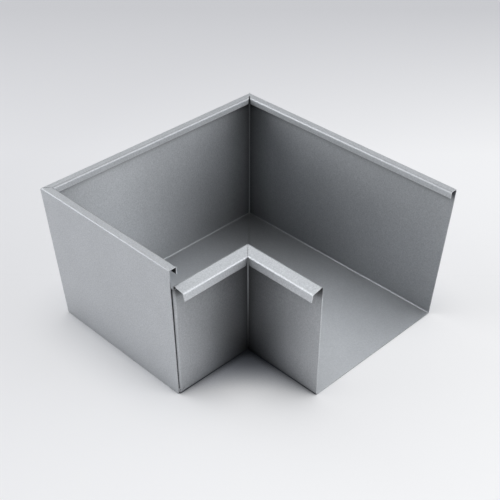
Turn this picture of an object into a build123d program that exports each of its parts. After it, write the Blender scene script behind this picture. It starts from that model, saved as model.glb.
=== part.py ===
from build123d import *

import os
from math import cos, radians, sin, sqrt, tan

# Box gutter angle: two legs of folded sheet joined on a mitre, with a stop end on one leg.
# The origin is on the underside, where the centre lines of the two legs cross.
# The open leg runs along +X and the closed leg along -Y. The tall rear walls meet at -X, +Y.
# Lengths are in millimetres and angles in degrees.

# Sheet
SHEET = 1.0                # thickness of the sheet
BEND_RADIUS = 1.8          # inside radius of the legs' folds

# Legs and channel section
LEG_LENGTH = 305.0         # outer floor corner to the end of a leg
FLOOR_WIDTH = 200.0        # across the floor, outside the walls
REAR_HEIGHT = 165.0        # underside to the top of the rear lip
REAR_LEAN = 8.6            # rear wall, outward from plumb
FRONT_HEIGHT = 148.0       # underside to the top of the front lip
FRONT_LEAN = 0.8           # front wall, inward from plumb

# Folded edges of the legs
REAR_LIP_WIDTH = 11.0      # level lip, turned in over the channel
REAR_RETURN = 8.5          # edge turned down from the rear lip
FRONT_LIP_WIDTH = 14.0     # lip turned out, away from the channel
FRONT_LIP_FALL = 10.5      # slope of the front lip, below level
FRONT_RETURN = 8.5         # edge turned down from the front lip
FRONT_RETURN_FLARE = 13.0  # front return, outward from plumb
TAB_WIDTH = 12.0           # tab folded in from the end of the closed leg's front wall
TAB_RELIEF = 1.0           # slits that part the tab from the folds above and below

# Stop end
STOP_LIP_WIDTH = 10.5      # level lip along the top, turned in over the channel
STOP_RETURN = 9.0          # edge turned down from that lip
STOP_BEND_RADIUS = 0.6     # inside radius of the stop end's folds
STOP_EDGE_INSET = 1.0      # foot of the front edge, in from the front wall's outer face
STOP_EDGE_LEAN = 1.8       # front edge, inward from plumb
TAB_GAP = 1.0              # between the stop end and the tab behind it

# Mitre
MITRE_GAP = 0.6            # between the cut edges of the sheets
REAR_RETURN_SLIT = 1.4     # between the rear returns, at the fold above them
REAR_RETURN_VEE = 2.8      # between the tips of the rear returns
FRONT_RETURN_VEE = 4.5     # between the tips of the front returns

# Solder
SEAM_REACH = 1.0           # on each side of the mitre, inside the channel
SEAM_THICKNESS = 0.5       # over the face of the sheet
NOTCH_SEAM_REACH = 1.1     # on each side of the mitre, outside the front walls
SEAM_END_GAP = 6.0         # bare wall between the end of a seam and the lip above it
STOP_FILLET = 2.0          # leg of the fillet inside the stop end

HALF_WIDTH = FLOOR_WIDTH / 2
LEG_END = LEG_LENGTH - HALF_WIDTH
REAR_EDGE = HALF_WIDTH + REAR_HEIGHT * tan(radians(REAR_LEAN))
OUTSIDE_RADIUS = BEND_RADIUS + SHEET
TAB_FACE = LEG_END - SHEET - TAB_GAP

# The mitre is upright: its normal points to the open leg, and its run goes from rear to front.
MITRE_NORMAL = Vector(1, 1, 0).normalized()
MITRE_RUN = Vector(1, -1, 0).normalized()
MITRE = Plane(origin=(0, 0, 0), x_dir=MITRE_RUN, z_dir=MITRE_NORMAL)

# A section is drawn at the end of the open leg: x across the channel to the front, y up.
END_SECTION = Plane(origin=(LEG_END, 0, 0), x_dir=(0, -1, 0), z_dir=(-1, 0, 0))


def rear_wall_point(height):
    """Point of the section on the outer face of the rear wall."""
    return Vector(-HALF_WIDTH - height * tan(radians(REAR_LEAN)), height)


def front_wall_point(height):
    """Point of the section on the outer face of the front wall."""
    return Vector(HALF_WIDTH - height * tan(radians(FRONT_LEAN)), height)


def channel_line():
    """Outer face of a leg's sheet as a bent line, from the rear return to the front return."""
    rear_top = rear_wall_point(REAR_HEIGHT)
    rear_fold = rear_top + Vector(REAR_LIP_WIDTH, 0)
    rear_tip = rear_fold - Vector(0, REAR_RETURN)
    fall = radians(FRONT_LIP_FALL)
    flare = radians(FRONT_RETURN_FLARE)
    front_top = front_wall_point(FRONT_HEIGHT - SHEET)
    front_fold = front_top + Vector(cos(fall), -sin(fall)) * FRONT_LIP_WIDTH
    front_tip = front_fold + Vector(sin(flare), -cos(flare)) * FRONT_RETURN
    walls = [rear_top, rear_wall_point(0), front_wall_point(0), front_top]
    return [rear_tip, rear_fold, *walls, front_fold, front_tip]


def left_normals(points):
    """Unit normals to the left of each stretch of a bent line."""
    return [(b - a).normalized().rotate(Axis.Z, 90) for a, b in zip(points, points[1:])]


def shifted(points, distance):
    """Corners of a bent line moved so far to the left of its travel."""
    normals = left_normals(points)
    moved = []
    for point, before, after in zip(points, [normals[0], *normals], [*normals, normals[-1]]):
        moved.append(point + (before + after) * (distance / (1 + before.dot(after))))
    return moved


def bent_line(points, distance, bend=BEND_RADIUS):
    """A bent line moved to the left, with its corners rounded as the sheet folds."""
    moved = shifted(points, distance)
    if len(moved) == 2:
        return Line(*moved)
    normals = left_normals(points)
    radii = []
    for before, after in zip(normals, normals[1:]):
        turns_left = before.cross(after).Z > 0
        radii.append(max(bend + SHEET - distance, 0) if turns_left else bend + distance)
    return FilletPolyline(*moved, radius=radii)


def strip(points, near, far, bend=BEND_RADIUS):
    """Section of a layer between two distances to the left of a bent line."""
    outer = bent_line(points, near, bend)
    inner = bent_line(points, far, bend)
    first_end = Line(outer @ 0, inner @ 0)
    last_end = Line(outer @ 1, inner @ 1)
    return make_face([*outer.edges(), *inner.edges(), first_end, last_end])


def run_through(section, end_gap=0.0):
    """A section run from the end of the open leg, less a gap, past the far side of the corner."""
    start = END_SECTION.offset(end_gap)
    return extrude(start * section, amount=LEG_END + REAR_EDGE + FRONT_LIP_WIDTH)


def beyond_mitre(solid, distance):
    """The part of a run at least so far from the mitre, on the open leg's side."""
    return split(solid, bisect_by=MITRE.offset(distance), keep=Keep.TOP)


def beside_mitre(solid, reach):
    """The part of a run from the mitre to so far on the open leg's side."""
    return split(beyond_mitre(solid, 0), bisect_by=MITRE.offset(reach), keep=Keep.BOTTOM)


def on_closed_leg(solid):
    """A solid in the open leg's place, carried across the mitre to the closed leg."""
    return mirror(solid, about=MITRE)


def mitre_slot(top, bottom, top_width, bottom_width):
    """Cutter along the mitre that parts the returns between two points of the section."""
    near = min(top.X, bottom.X) - OUTSIDE_RADIUS
    far = max(top.X, bottom.X) + OUTSIDE_RADIUS
    start = Plane(origin=MITRE_RUN * (near * sqrt(2)), x_dir=MITRE_NORMAL, z_dir=MITRE_RUN)
    outline = Polyline(
        (-top_width / 2, top.Y),
        (top_width / 2, top.Y),
        (bottom_width / 2, bottom.Y - SHEET),
        (-bottom_width / 2, bottom.Y - SHEET),
        close=True,
    )
    return extrude(start * make_face(outline), amount=(far - near) * sqrt(2))


def leg(end_gap):
    """A mitred leg in the open leg's place, short of its full length by a gap."""
    points = channel_line()
    rear_tip, rear_fold = points[:2]
    front_fold, front_tip = points[-2:]
    solid = beyond_mitre(run_through(strip(points, 0, SHEET), end_gap), MITRE_GAP / 2)
    solid -= mitre_slot(rear_fold, rear_tip, REAR_RETURN_SLIT, REAR_RETURN_VEE)
    solid -= mitre_slot(front_fold, front_tip, MITRE_GAP, FRONT_RETURN_VEE)
    return solid


def lip_mitre(distance):
    """Upright plane through the corner where the rear lip meets the stop end's lip.

    Its normal points to the stop end's side.
    """
    corner = Vector(LEG_END, REAR_EDGE, 0)
    run = Vector(-STOP_LIP_WIDTH, -REAR_LIP_WIDTH, 0).normalized()
    return Plane(origin=corner, x_dir=run, z_dir=run.rotate(Axis.Z, 90)).offset(distance)


def tab_place(height):
    """Plane square to the front wall where its tab folds: x along the leg, y into the channel."""
    up = Vector(0, tan(radians(FRONT_LEAN)), 1).normalized()
    return Plane(origin=(TAB_FACE, -HALF_WIDTH, 0), x_dir=(1, 0, 0), z_dir=up).offset(height)


def tabbed(solid):
    """A leg in the open leg's place with a tab folded in from the end of its front wall."""
    low = 2 * OUTSIDE_RADIUS + TAB_RELIEF
    height = FRONT_HEIGHT - 2 * low
    opening = Pos(-2 * OUTSIDE_RADIUS, -SHEET) * Rectangle(
        TAB_WIDTH + LEG_LENGTH, 3 * SHEET, align=(Align.MIN, Align.MIN)
    )
    fold_line = [Vector(-3 * OUTSIDE_RADIUS, 0), Vector(0, 0), Vector(0, TAB_WIDTH)]
    solid -= extrude(tab_place(low - TAB_RELIEF) * opening, amount=height + 2 * TAB_RELIEF)
    return solid + extrude(tab_place(low) * strip(fold_line, 0, SHEET), amount=height)


def closed_leg():
    """The leg that carries the stop end: rear lip mitred, front wall cut back and tabbed."""
    solid = leg(SHEET)
    lip_reach = STOP_LIP_WIDTH + REAR_LIP_WIDTH
    lip_zone = Pos(LEG_END, REAR_EDGE, REAR_HEIGHT) * Box(
        2 * lip_reach,
        2 * lip_reach,
        2 * (max(REAR_RETURN, STOP_RETURN) + SHEET),
    )
    solid -= split(lip_zone, bisect_by=lip_mitre(-MITRE_GAP / 2), keep=Keep.TOP)
    inset = Vector(2 * OUTSIDE_RADIUS, 0)
    front_zone = Polyline(
        front_wall_point(-FRONT_HEIGHT) - inset,
        front_wall_point(2 * FRONT_HEIGHT) - inset,
        front_wall_point(2 * FRONT_HEIGHT) + Vector(FLOOR_WIDTH, 0),
        front_wall_point(-FRONT_HEIGHT) + Vector(FLOOR_WIDTH, 0),
        close=True,
    )
    solid -= extrude(END_SECTION * make_face(front_zone), amount=LEG_END - TAB_FACE)
    return on_closed_leg(tabbed(solid))


def stop_end():
    """Plate across the end of the closed leg, with a lip folded along its top."""
    top = Vector(0, REAR_HEIGHT)
    fold = top + Vector(STOP_LIP_WIDTH, 0)
    fold_line = [fold - Vector(0, STOP_RETURN), fold, top, Vector(0, 0)]
    across = Plane(origin=(LEG_END, -REAR_EDGE, 0), x_dir=(-1, 0, 0), z_dir=(0, 1, 0))
    section = strip(fold_line, 0, SHEET, STOP_BEND_RADIUS)
    folded = extrude(across * section, amount=2 * REAR_EDGE)
    front_foot = front_wall_point(0) - Vector(STOP_EDGE_INSET, 0)
    front_top = front_foot + Vector(-tan(radians(STOP_EDGE_LEAN)), 1) * REAR_HEIGHT
    corners = [rear_wall_point(REAR_HEIGHT), rear_wall_point(0), front_foot, front_top]
    radii = [0, OUTSIDE_RADIUS, OUTSIDE_RADIUS, 0]
    outline = make_face(FilletPolyline(*corners, radius=radii, close=True))
    trimmed = folded & extrude(END_SECTION * outline, amount=2 * STOP_LIP_WIDTH)
    return on_closed_leg(split(trimmed, bisect_by=lip_mitre(MITRE_GAP / 2), keep=Keep.TOP))


def seam_top():
    """Where the solder stops on the rear wall, below the lips."""
    return rear_wall_point(REAR_HEIGHT - max(REAR_RETURN, STOP_RETURN) - SEAM_END_GAP)


def mitre_solder():
    """Solder in the mitre gap, in a band over it inside the channel and along the notch corner."""
    seam_end = front_wall_point(FRONT_HEIGHT - SEAM_END_GAP)
    feet = [rear_wall_point(0), front_wall_point(0)]
    rear_top = rear_wall_point(REAR_HEIGHT)
    lip_middle = rear_top + Vector(REAR_LIP_WIDTH / 2, 0)
    fill = run_through(strip([lip_middle, rear_top, *feet, seam_end], 0, SHEET))
    band = run_through(strip([seam_top(), *feet, seam_end], SHEET, SHEET + SEAM_THICKNESS))
    notch_ends = [front_wall_point(2 * OUTSIDE_RADIUS), seam_end]
    notch = run_through(strip(notch_ends, -SEAM_THICKNESS, 0))
    half = beside_mitre(fill, MITRE_GAP / 2)
    half += beside_mitre(band, SEAM_REACH)
    half += beside_mitre(notch, NOTCH_SEAM_REACH)
    return half + on_closed_leg(half)


def stop_end_solder():
    """Fillet of solder inside the stop end, down the rear wall and across the floor."""
    floor_end = front_wall_point(0) - Vector(TAB_WIDTH + OUTSIDE_RADIUS, 0)
    points = [seam_top(), rear_wall_point(0), floor_end]
    plate_face = END_SECTION.offset(SHEET)
    runs = []
    corners = shifted(points, SHEET)
    for start, end in zip(corners, corners[1:]):
        direction = plate_face.from_local_coords(end) - plate_face.from_local_coords(start)
        from_sheet = plate_face.z_dir.cross(direction)
        square = Plane(plate_face.from_local_coords(start), x_dir=from_sheet, z_dir=direction)
        outline = Polyline((0, 0), (STOP_FILLET, 0), (0, STOP_FILLET), close=True)
        runs.append(extrude(square * make_face(outline), amount=direction.length))
    face_line = bent_line(points, SHEET)
    inner_corner = Vector((face_line @ 1).X, (face_line @ 0).Y)
    ends = [Line(face_line @ 1, inner_corner), Line(inner_corner, face_line @ 0)]
    channel = extrude(plate_face * make_face([*face_line.edges(), *ends]), amount=2 * STOP_FILLET)
    return on_closed_leg((runs[0] + runs[1]) & channel)


def main():
    nodes = {
        "open_leg": leg(0),
        "closed_leg": closed_leg(),
        "stop_end": stop_end(),
        "mitre_solder": mitre_solder(),
        "stop_end_solder": stop_end_solder(),
    }
    os.makedirs("parts", exist_ok=True)
    for name, shape in nodes.items():
        export_step(shape, f"parts/{name}.step")


main()
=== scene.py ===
from math import cos, radians, sin

import bpy
from mathutils import Matrix, Vector


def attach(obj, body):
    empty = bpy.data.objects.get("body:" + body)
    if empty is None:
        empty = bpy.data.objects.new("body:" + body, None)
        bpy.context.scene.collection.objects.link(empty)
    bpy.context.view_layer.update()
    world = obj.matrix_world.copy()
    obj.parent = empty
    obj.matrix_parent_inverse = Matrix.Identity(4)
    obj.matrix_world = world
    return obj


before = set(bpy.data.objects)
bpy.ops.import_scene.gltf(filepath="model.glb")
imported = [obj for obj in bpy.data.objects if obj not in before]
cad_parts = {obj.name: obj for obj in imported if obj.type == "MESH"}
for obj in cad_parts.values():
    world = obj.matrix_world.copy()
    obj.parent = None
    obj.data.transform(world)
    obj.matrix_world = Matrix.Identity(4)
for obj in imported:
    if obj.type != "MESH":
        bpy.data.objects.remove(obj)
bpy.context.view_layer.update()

# Lengths are in metres and angles in degrees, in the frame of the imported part.
# A pair of values is a span, over which a finish goes from none to full or back.
MM = 0.001

# Camera, fitted to the photograph's 500 x 500 frame
AZIMUTH = 45.29
ELEVATION = 35.741
DISTANCE = 1.2404
AIM = Vector((0, 0, 80 * MM))
OFF_AIM = (1.5 * MM, -33.46 * MM)       # to the right and up, in the picture's plane
SENSOR = 36.0                           # millimetres
FOCAL_PIXELS = 1024.1
FRAME_PIXELS = 500
LENS = FOCAL_PIXELS / FRAME_PIXELS * SENSOR

# Directions of the picture and of the two legs, in the part's frame
RIGHT = Vector((1, 1, 0)).normalized()
BACK = Vector((-1, 1, 0)).normalized()
FRONT = -BACK
UP = Vector((0, 0, 1))
OPEN_WAY = Vector((1, 0, 0))
CLOSED_WAY = Vector((0, -1, 0))

# Floor: its colour holds painted light, paler to the right and to the front and greyer far off, and
# painted shade, darker and cooler in the notch
FLOOR_SIZE = 100.0
FLOOR_LEFT = (0.77, 0.773, 0.795)
FLOOR_RIGHT = (0.945, 0.947, 0.958)
FLOOR_FAR = (0.595, 0.598, 0.622)
# painted shade: the cool dark colour that the floor fades to in the notch
FLOOR_SHADE = (0.35, 0.375, 0.44)
FLOOR_TILT = RIGHT - 0.6 * BACK         # way in which it gets paler
TILT_REACH = (-0.5, 0.5)
FAR_REACH = (0.3, 0.85)
SHADE_DISTANCE = 150 * MM
SHADE_OPENNESS = (0.28, 0.52)
# Painted contact shade on the floor close under the part's edges
CONTACT_SHADE_DISTANCE = 14 * MM
CONTACT_SHADE_OPENNESS = (0.5, 0.85)
CONTACT_SHADE_DEPTH = (0.36, 0.95)            # share of the colour that the painted contact shade leaves under edges: notch, elsewhere
NOTCH_OPENNESS = (0.36, 0.5)
FLOOR_GLOW = 0.62                       # share of the floor's own colour where nothing is near
GLOW_DISTANCE = 65 * MM
GLOW_OPENNESS = (0.45, 1.0)

# Sheet: metal and grain
SHEET_DARK = (0.485, 0.50, 0.52)
SHEET_PALE = (0.67, 0.685, 0.705)
SHEET_RUBBED = (0.92, 0.93, 0.95)       # along cut edges
SHEET_METALLIC = 0.9
SHEET_ROUGHNESS = (0.44, 0.54)
SHEET_BUMP = (0.3, 0.06 * MM)           # strength, height
GRAIN_SIZE = 1.6 * MM
GRAIN_SHARE = 0.85                      # the rest is mottling
MOTTLE_SIZE = 40 * MM
FLOOR_GRAIN = 0.5                       # share of the grain that shows on the gutter's floor
FLOOR_GRAIN_TOP = (3 * MM, 12 * MM)
NOISE_SPAN = (0.3, 0.7)                 # values of a noise that go from one colour to the other
EDGE_WIDTH = 0.5 * MM
EDGE_TURN = (0.75, 0.97)

# Sheet: painted shade where other sheet is near, as the share of the colour that is left
CORNER_SHADE_DEPTH = 0.5                        # in the deepest corners
FLOOR_CORNER_SHADE_DEPTH = 0.62                 # the same on level faces
CORNER_SHADE_DISTANCE = 100 * MM
CORNER_SHADE_OPENNESS = (0.3, 0.95)
CREVICE_SHADE_DEPTH = 0.25                    # in narrow folds
CREVICE_DISTANCE = 18 * MM
CREVICE_OPENNESS = (0.2, 0.75)
CREVICE_LIFT = 0.7                      # how far the faces are taken to look upward
LEVEL_TURN = (0.3, 0.7)                 # upward part of a normal, from upright faces to level ones

# Sheet: painted shade beside the soldered corner, as the share of the colour that is lost
NOTCH_SEAM_SHADE = 0.36
NOTCH_SEAM_SHADE_REACH = (5 * MM, 42 * MM)
NOTCH_START = (139 * MM, 140 * MM)      # from the centre to the front
REAR_SEAM_SHADE = 0.25
REAR_SEAM_SHADE_REACH = (4 * MM, 30 * MM)
REAR_START = (20 * MM, 100 * MM)        # from the centre to the back
SEAM_SHADE_TOP = (134 * MM, 138 * MM)

# Sheet: rear lips, with paler, more matt returns that the painted shade leaves out, and painted shade
# over the folds above them, which dims their highlight
RETURN_METALLIC = 0.3
RETURN_DEPTH = (117 * MM, 118 * MM)     # from a leg's centre line
RETURN_FOOT = (155 * MM, 156 * MM)
FOLD_SHADE_DEPTH = 0.66
FOLD_TURN = (0.5, 0.7)
LIP_TURN = (0.97, 0.995)

# Sheet: outer faces of the front walls, with shade painted close under the lips
UNDER_LIP_SHADE_DEPTH = 0.35
UNDER_LIP_HEIGHT = (131 * MM, 144 * MM)
FRONT_WALL_INNER = (94 * MM, 95 * MM)   # from a leg's centre line
FRONT_WALL_OUTER = (101 * MM, 102 * MM)
FRONT_TURN = (0.3, 0.6)

# Sheet: dark cut end of the open leg's rear wall
CUT_DEPTH = 0.5
CUT_TOP = (150 * MM, 156 * MM)
REAR_WALL = (98 * MM, 99 * MM)
OPEN_END = (203 * MM, 204 * MM)
END_TURN = (0.7, 0.9)

# Sheet: painted shade on the fold at the top of the stop end, which dims its highlight
STOP_FOLD_SHADE_DEPTH = 0.62
STOP_FOLD_TURN = (0.2, 0.4)
STOP_LIP_TURN = (0.95, 0.99)

# Solder, with shade painted towards the ground in the notch
SOLDER_DARK = (0.36, 0.37, 0.38)
SOLDER_PALE = (0.48, 0.49, 0.50)
SOLDER_METALLIC = 0.9
SOLDER_ROUGHNESS = (0.4, 0.55)
SOLDER_BUMP = (0.4, 0.2 * MM)           # strength, height
SOLDER_RIPPLE = 4 * MM
SOLDER_SHADE_DEPTH = 0.4
SOLDER_HEIGHT = (5 * MM, 100 * MM)
SOLDER_START = (120 * MM, 130 * MM)     # from the centre to the front

# Smear of solder on the rear lip's mitre
LIP_HEIGHT = 165 * MM
LIP_SMEAR = (9.0 * MM, 1.2 * MM, 0.2 * MM)   # along the mitre, across it, thick
LIP_SMEAR_REACH = 170.5 * MM                 # from the centre to the middle of the smear
MITRE_TURN = -45

# Soft lights round the studio: elevation, turn from the picture's right towards its back, strength
LIGHT_COLOUR = (0.97, 0.985, 1.0)
LIGHT_SPREAD = (0.72, 1)                # cosines of the angles between which a light fades out
LIGHTS = (
    (12, 0, 2.0),
    (12, 45, 0.39),
    (12, 157, 3.9),
    (12, 180, 1.35),
    (12, 315, 0.62),
    (38, 0, 0.84),
    (63, 90, 1.15),
    (78, 110, 0.23),
)


def link(obj):
    bpy.context.scene.collection.objects.link(obj)
    return obj


class Nodes:
    """Short ways to add and join the nodes of one tree."""

    def __init__(self, tree):
        self.tree = tree
        tree.nodes.clear()

    def add(self, kind, **settings):
        node = self.tree.nodes.new(kind)
        for name, value in settings.items():
            setattr(node, name, value)
        return node

    def join(self, source, target):
        self.tree.links.new(source, target)

    def put(self, value, socket):
        """Set a socket to a plain number or vector, or join another node's output to it."""
        if isinstance(value, (int, float, Vector)):
            socket.default_value = value
        else:
            self.join(value, socket)

    def noise(self, vector, size, detail=2.0, roughness=0.5):
        node = self.add("ShaderNodeTexNoise")
        node.inputs["Scale"].default_value = 1 / size
        node.inputs["Detail"].default_value = detail
        node.inputs["Roughness"].default_value = roughness
        self.join(vector, node.inputs["Vector"])
        return node.outputs["Fac"]

    def map(self, value, span, to_low, to_high):
        """Carry a span of values over to other values, and hold them beyond it."""
        node = self.add("ShaderNodeMapRange")
        names = ("From Min", "From Max", "To Min", "To Max")
        for name, number in zip(names, (*span, to_low, to_high)):
            self.put(number, node.inputs[name])
        self.join(value, node.inputs["Value"])
        return node.outputs["Result"]

    def rise(self, value, span):
        return self.map(value, span, 0, 1)

    def fall(self, value, span):
        return self.map(value, span, 1, 0)

    def left(self, share, depth):
        """Share of the colour that is left where a mask from 0 to 1 darkens it to a depth."""
        return self.map(share, (0, 1), 1, depth)

    def math(self, operation, a, b):
        node = self.add("ShaderNodeMath", operation=operation)
        self.put(a, node.inputs[0])
        self.put(b, node.inputs[1])
        return node.outputs["Value"]

    def times(self, product, *factors):
        for factor in factors:
            product = self.math("MULTIPLY", product, factor)
        return product

    def vector(self, operation, a, b):
        node = self.add("ShaderNodeVectorMath", operation=operation)
        self.put(a, node.inputs[0])
        self.put(b, node.inputs[1])
        return node.outputs

    def along(self, vector, axis):
        """Part of a vector along an axis."""
        return self.vector("DOT_PRODUCT", vector, axis)["Value"]

    def scale(self, vector, factor):
        node = self.add("ShaderNodeVectorMath", operation="SCALE")
        self.put(vector, node.inputs[0])
        self.put(factor, node.inputs["Scale"])
        return node.outputs["Vector"]

    def blend(self, factor, a, b):
        node = self.add("ShaderNodeMix", data_type="RGBA")
        self.join(factor, node.inputs["Factor"])
        for name, value in (("A", a), ("B", b)):
            socket = [s for s in node.inputs if s.name == name and s.type == "RGBA"][0]
            if isinstance(value, tuple):
                socket.default_value = (*value, 1)
            else:
                self.join(value, socket)
        return [s for s in node.outputs if s.type == "RGBA"][0]

    def openness(self, distance, normal=None, samples=8):
        """From 0 where other faces are close to 1 where none is within a distance."""
        node = self.add("ShaderNodeAmbientOcclusion", samples=samples)
        node.inputs["Distance"].default_value = distance
        if normal:
            self.join(normal, node.inputs["Normal"])
        return node.outputs["AO"]


def new_material(name):
    material = bpy.data.materials.new(name)
    material.use_nodes = True
    return material, Nodes(material.node_tree)


def new_metal(name):
    """Material with its nodes, its shader and the place on the surface."""
    material, nodes = new_material(name)
    output = nodes.add("ShaderNodeOutputMaterial")
    shader = nodes.add("ShaderNodeBsdfPrincipled")
    nodes.join(shader.outputs["BSDF"], output.inputs["Surface"])
    place = nodes.add("ShaderNodeTexCoord").outputs["Object"]
    return material, nodes, shader, place


def add_bump(nodes, shader, height, strength, distance):
    bump = nodes.add("ShaderNodeBump")
    bump.inputs["Strength"].default_value = strength
    bump.inputs["Distance"].default_value = distance
    nodes.join(height, bump.inputs["Height"])
    nodes.join(bump.outputs["Normal"], shader.inputs["Normal"])


def sheet_material(name, is_leg):
    """Matt zinc-coated sheet: fine grain, soft mottling, painted shade in corners and rubbed cut edges.
    """
    material, nodes, shader, place = new_metal(name)
    normal = nodes.add("ShaderNodeNewGeometry").outputs["Normal"]
    grain = sheet_grain(nodes, place)
    mottle = nodes.noise(place, MOTTLE_SIZE, detail=3.0, roughness=0.55)
    mixed = nodes.math("ADD", nodes.times(grain, GRAIN_SHARE), nodes.times(mottle, 1 - GRAIN_SHARE))
    metal = nodes.blend(nodes.rise(mixed, NOISE_SPAN), SHEET_DARK, SHEET_PALE)
    if is_leg:
        returns, folds = lip_faces(nodes, place, normal)
        shade_share = leg_painted_shade(nodes, place, normal, returns, folds)
        metallic = nodes.map(returns, (0, 1), SHEET_METALLIC, RETURN_METALLIC)
        nodes.join(metallic, shader.inputs["Metallic"])
    else:
        shade_share = nodes.times(painted_corner_shade(nodes, normal, 1), painted_stop_fold_shade(nodes, normal))
        shader.inputs["Metallic"].default_value = SHEET_METALLIC
    colour = nodes.scale(nodes.blend(cut_edge(nodes, normal), metal, SHEET_RUBBED), shade_share)
    nodes.join(colour, shader.inputs["Base Color"])
    nodes.join(nodes.map(mixed, NOISE_SPAN, *SHEET_ROUGHNESS), shader.inputs["Roughness"])
    add_bump(nodes, shader, grain, *SHEET_BUMP)
    return material


def sheet_grain(nodes, place):
    """Fine grain about a mean of a half, weaker on the gutter's floor."""
    grain = nodes.noise(place, GRAIN_SIZE, roughness=0.6)
    strength = nodes.map(nodes.along(place, UP), FLOOR_GRAIN_TOP, FLOOR_GRAIN, 1)
    return nodes.math("ADD", nodes.times(nodes.math("SUBTRACT", grain, 0.5), strength), 0.5)


def leg_painted_shade(nodes, place, normal, returns, folds):
    """Share of the colour that is left on a leg under its painted shade in corners, beside the soldered
    corner, over the rear lips' folds and under the front lips, and on its dark cut end.
    """
    outside = nodes.rise(nodes.along(place, FRONT), NOTCH_START)
    walls = nodes.times(painted_corner_shade(nodes, normal, outside), painted_seam_shade(nodes, place, normal, outside))
    return nodes.times(
        nodes.math("MAXIMUM", walls, returns),
        # painted shade over the upper part of the rear lips' folds
        nodes.left(folds, FOLD_SHADE_DEPTH),
        painted_under_lip_shade(nodes, place, normal),
        cut_end(nodes, place, normal),
    )


def painted_corner_shade(nodes, normal, lift):
    """Painted shade that darkens the sheet where other sheet is near, and most in narrow folds."""
    level = nodes.rise(nodes.along(normal, UP), LEVEL_TURN)
    depth = nodes.map(level, (0, 1), CORNER_SHADE_DEPTH, FLOOR_CORNER_SHADE_DEPTH)
    near = nodes.openness(CORNER_SHADE_DISTANCE, lifted(nodes, normal, lift))
    shade_share = nodes.map(near, CORNER_SHADE_OPENNESS, depth, 1)
    narrow = nodes.openness(CREVICE_DISTANCE, lifted(nodes, normal, CREVICE_LIFT))
    crevice = nodes.map(narrow, CREVICE_OPENNESS, CREVICE_SHADE_DEPTH, 1)
    return nodes.times(shade_share, nodes.math("MAXIMUM", crevice, level))


def lifted(nodes, normal, lift):
    """Normal turned upward, so that the ground counts for less."""
    total = nodes.vector("ADD", normal, nodes.scale(UP, lift))["Vector"]
    unit = nodes.add("ShaderNodeVectorMath", operation="NORMALIZE")
    nodes.join(total, unit.inputs[0])
    return unit.outputs["Vector"]


def painted_seam_shade(nodes, place, normal, outside):
    """Painted shade beside the soldered corner, stronger on the outer faces of the front walls."""
    side = nodes.math("ABSOLUTE", nodes.along(place, RIGHT), 0)
    notch = nodes.map(side, NOTCH_SEAM_SHADE_REACH, NOTCH_SEAM_SHADE, 0)
    rear = nodes.map(side, REAR_SEAM_SHADE_REACH, REAR_SEAM_SHADE, 0)
    upright = nodes.fall(nodes.along(normal, UP), LEVEL_TURN)
    inside = nodes.times(nodes.rise(nodes.along(place, BACK), REAR_START), upright)
    share = nodes.math("ADD", nodes.times(notch, outside), nodes.times(rear, inside))
    below_lip = nodes.fall(nodes.along(place, UP), SEAM_SHADE_TOP)
    walls = nodes.math("MAXIMUM", below_lip, inside)
    return nodes.math("SUBTRACT", 1, nodes.times(share, walls))


def lip_faces(nodes, place, normal):
    """Returns of the rear lips, and the upper part of the folds over them where shade is painted, each
    from 0 to 1.
    """
    depth = nodes.math("MAXIMUM", nodes.along(place, -CLOSED_WAY), nodes.along(place, -OPEN_WAY))
    lip = nodes.times(nodes.fall(depth, RETURN_DEPTH), nodes.rise(nodes.along(place, UP), RETURN_FOOT))
    level = nodes.along(normal, UP)
    upright = nodes.fall(level, LEVEL_TURN)
    fold = nodes.times(nodes.rise(level, FOLD_TURN), nodes.fall(level, LIP_TURN))
    return nodes.times(lip, upright), nodes.times(lip, fold)


def painted_under_lip_shade(nodes, place, normal):
    """Share of the colour that is left on the front walls' outer faces, with shade painted close under
    the lips.
    """
    depth = nodes.math("MINIMUM", nodes.along(place, OPEN_WAY), nodes.along(place, CLOSED_WAY))
    share = nodes.times(
        nodes.rise(depth, FRONT_WALL_INNER),
        nodes.fall(depth, FRONT_WALL_OUTER),
        nodes.rise(nodes.along(normal, FRONT), FRONT_TURN),
        nodes.rise(nodes.along(place, UP), UNDER_LIP_HEIGHT),
    )
    return nodes.left(share, UNDER_LIP_SHADE_DEPTH)


def cut_end(nodes, place, normal):
    """Share of the colour that is left on the rear wall's cut end, where the open leg stops."""
    share = nodes.times(
        nodes.rise(nodes.along(place, -CLOSED_WAY), REAR_WALL),
        nodes.rise(nodes.along(place, OPEN_WAY), OPEN_END),
        nodes.rise(nodes.along(normal, OPEN_WAY), END_TURN),
        nodes.fall(nodes.along(place, UP), CUT_TOP),
    )
    return nodes.left(share, CUT_DEPTH)


def painted_stop_fold_shade(nodes, normal):
    """Share of the colour that is left on the fold at the top of the stop end, under painted shade that
    dims its highlight.
    """
    level = nodes.along(normal, UP)
    fold = nodes.times(nodes.rise(level, STOP_FOLD_TURN), nodes.fall(level, STOP_LIP_TURN))
    return nodes.left(fold, STOP_FOLD_SHADE_DEPTH)


def cut_edge(nodes, normal):
    """Bright metal close to a sharp edge, from 0 to 1."""
    bevel = nodes.add("ShaderNodeBevel", samples=4)
    bevel.inputs["Radius"].default_value = EDGE_WIDTH
    return nodes.fall(nodes.along(bevel.outputs["Normal"], normal), EDGE_TURN)


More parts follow.
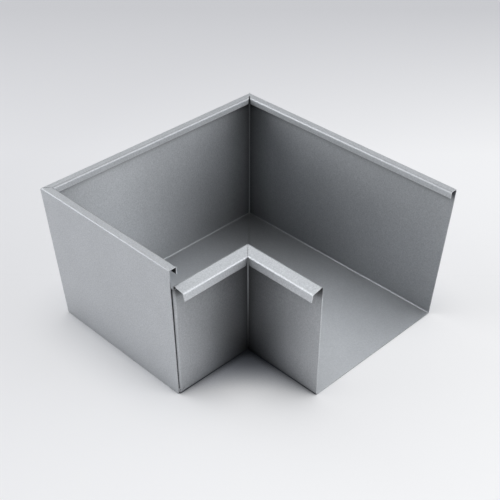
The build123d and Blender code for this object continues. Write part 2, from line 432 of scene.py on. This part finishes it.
def solder_material():
    """Rippled soft solder, with shade painted towards the ground in the notch."""
    material, nodes, shader, place = new_metal("soft_solder")
    ripple = nodes.noise(place, SOLDER_RIPPLE, detail=3.0)
    # painted shade: the solder's colour is darker towards the ground in the notch
    height = nodes.map(nodes.along(place, UP), SOLDER_HEIGHT, SOLDER_SHADE_DEPTH, 1)
    shade_share = nodes.math("MAXIMUM", height, nodes.fall(nodes.along(place, FRONT), SOLDER_START))
    colour = nodes.scale(nodes.blend(ripple, SOLDER_DARK, SOLDER_PALE), shade_share)
    nodes.join(colour, shader.inputs["Base Color"])
    nodes.join(nodes.map(ripple, NOISE_SPAN, *SOLDER_ROUGHNESS), shader.inputs["Roughness"])
    shader.inputs["Metallic"].default_value = SOLDER_METALLIC
    add_bump(nodes, shader, ripple, *SOLDER_BUMP)
    return material


def camera_axes():
    azimuth, elevation = radians(AZIMUTH), radians(ELEVATION)
    back = Vector((sin(azimuth) * cos(elevation), -cos(azimuth) * cos(elevation), sin(elevation)))
    right = Vector((cos(azimuth), sin(azimuth), 0))
    return right, back.cross(right), back


def make_camera():
    right, up, back = camera_axes()
    data = bpy.data.cameras.new("camera")
    data.sensor_width = SENSOR
    data.lens = LENS
    camera = link(bpy.data.objects.new("camera", data))
    turn = Matrix((right, up, back)).transposed()
    place = AIM + back * DISTANCE + right * OFF_AIM[0] + up * OFF_AIM[1]
    camera.matrix_world = Matrix.Translation(place) @ turn.to_4x4()
    bpy.context.scene.camera = camera


def make_floor():
    mesh = bpy.data.meshes.new("floor")
    half = FLOOR_SIZE / 2
    corners = [(-half, -half, 0), (half, -half, 0), (half, half, 0), (-half, half, 0)]
    mesh.from_pydata(corners, [], [(0, 1, 2, 3)])
    floor = link(bpy.data.objects.new("floor", mesh))
    floor.data.materials.append(floor_material())


def floor_material():
    """Matt floor that partly shows its own colour as a glow, less of it close to the part; the colour
    holds painted light, paler to the right and front, and painted shade under the part's edges and in
    the notch.
    """
    material, nodes = new_material("pale_floor")
    output = nodes.add("ShaderNodeOutputMaterial")
    place = nodes.add("ShaderNodeTexCoord").outputs["Object"]
    # Painted light: the floor's colour gets paler to the right and to the front and greyer far off
    near = nodes.blend(nodes.rise(nodes.along(place, FLOOR_TILT), TILT_REACH), FLOOR_LEFT, FLOOR_RIGHT)
    plain = nodes.blend(nodes.rise(nodes.along(place, BACK), FAR_REACH), near, FLOOR_FAR)
    # Painted shade: the floor's colour goes dark and cool where the part closes round it, most in the
    # notch
    deep = nodes.openness(SHADE_DISTANCE, samples=32)
    colour = nodes.blend(nodes.rise(deep, SHADE_OPENNESS), FLOOR_SHADE, plain)
    depth = nodes.map(deep, NOTCH_OPENNESS, *CONTACT_SHADE_DEPTH)
    # Painted contact shade: the floor's colour is darkened close under the part's edges
    contact_shade = nodes.map(nodes.openness(CONTACT_SHADE_DISTANCE), CONTACT_SHADE_OPENNESS, depth, 1)
    matt = nodes.add("ShaderNodeBsdfDiffuse")
    nodes.join(nodes.scale(colour, contact_shade), matt.inputs["Color"])
    glow = nodes.add("ShaderNodeEmission")
    nodes.join(colour, glow.inputs["Color"])
    rays = nodes.add("ShaderNodeLightPath").outputs
    seen = nodes.math("MAXIMUM", rays["Is Camera Ray"], rays["Is Glossy Ray"])
    seen = nodes.math("MAXIMUM", seen, rays["Is Transmission Ray"])
    clear = nodes.map(nodes.openness(GLOW_DISTANCE), GLOW_OPENNESS, 0, FLOOR_GLOW)
    mixed = nodes.add("ShaderNodeMixShader")
    nodes.join(nodes.times(seen, clear), mixed.inputs["Fac"])
    nodes.join(matt.outputs["BSDF"], mixed.inputs[1])
    nodes.join(glow.outputs["Emission"], mixed.inputs[2])
    nodes.join(mixed.outputs["Shader"], output.inputs["Surface"])
    return material


def make_lights():
    """Soft patches of light round a dark studio, low at the sides and weaker overhead."""
    world = bpy.data.worlds.new("studio")
    bpy.context.scene.world = world
    world.use_nodes = True
    nodes = Nodes(world.node_tree)
    output = nodes.add("ShaderNodeOutputWorld")
    background = nodes.add("ShaderNodeBackground")
    background.inputs["Color"].default_value = (*LIGHT_COLOUR, 1)
    direction = nodes.add("ShaderNodeTexCoord").outputs["Generated"]
    total = None
    for elevation, turn, strength in LIGHTS:
        level = cos(radians(turn)) * RIGHT + sin(radians(turn)) * BACK
        axis = cos(radians(elevation)) * level + sin(radians(elevation)) * UP
        patch = nodes.map(nodes.along(direction, axis), LIGHT_SPREAD, 0, strength)
        patch.node.interpolation_type = "SMOOTHSTEP"
        total = patch if total is None else nodes.math("ADD", total, patch)
    nodes.join(total, background.inputs["Strength"])
    nodes.join(background.outputs["Background"], output.inputs["Surface"])


def dress(node, material):
    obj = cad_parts[node]
    obj.data.materials.clear()
    obj.data.materials.append(material)


def box(name, size, place, turn):
    """Box about a point, turned about the vertical."""
    mesh = bpy.data.meshes.new(name)
    x, y, z = (length / 2 for length in size)
    corners = [(i * x, j * y, k * z) for k in (-1, 1) for i, j in ((-1, -1), (1, -1), (1, 1), (-1, 1))]
    faces = [(3, 2, 1, 0), (4, 5, 6, 7), (0, 1, 5, 4), (1, 2, 6, 5), (2, 3, 7, 6), (3, 0, 4, 7)]
    mesh.from_pydata(corners, [], faces)
    obj = link(bpy.data.objects.new(name, mesh))
    obj.matrix_world = Matrix.Translation(place) @ Matrix.Rotation(radians(turn), 4, "Z")
    return obj


def add_solder(material):
    """Smear of solder over the rear lip's mitre, which the photograph shows closed."""
    place = BACK * LIP_SMEAR_REACH + UP * LIP_HEIGHT
    smear = box("lip_mitre_solder", LIP_SMEAR, place, MITRE_TURN)
    smear.data.materials.append(material)
    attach(smear, "root")


bpy.context.scene.view_settings.view_transform = "Standard"
leg_sheet = sheet_material("zinc_coated_leg", True)
plain_sheet = sheet_material("zinc_coated_sheet", False)
solder = solder_material()
for name in ("open_leg", "closed_leg"):
    dress(name, leg_sheet)
dress("stop_end", plain_sheet)
for name in ("mitre_solder", "stop_end_solder"):
    dress(name, solder)
add_solder(plain_sheet)
make_camera()
make_floor()
make_lights()
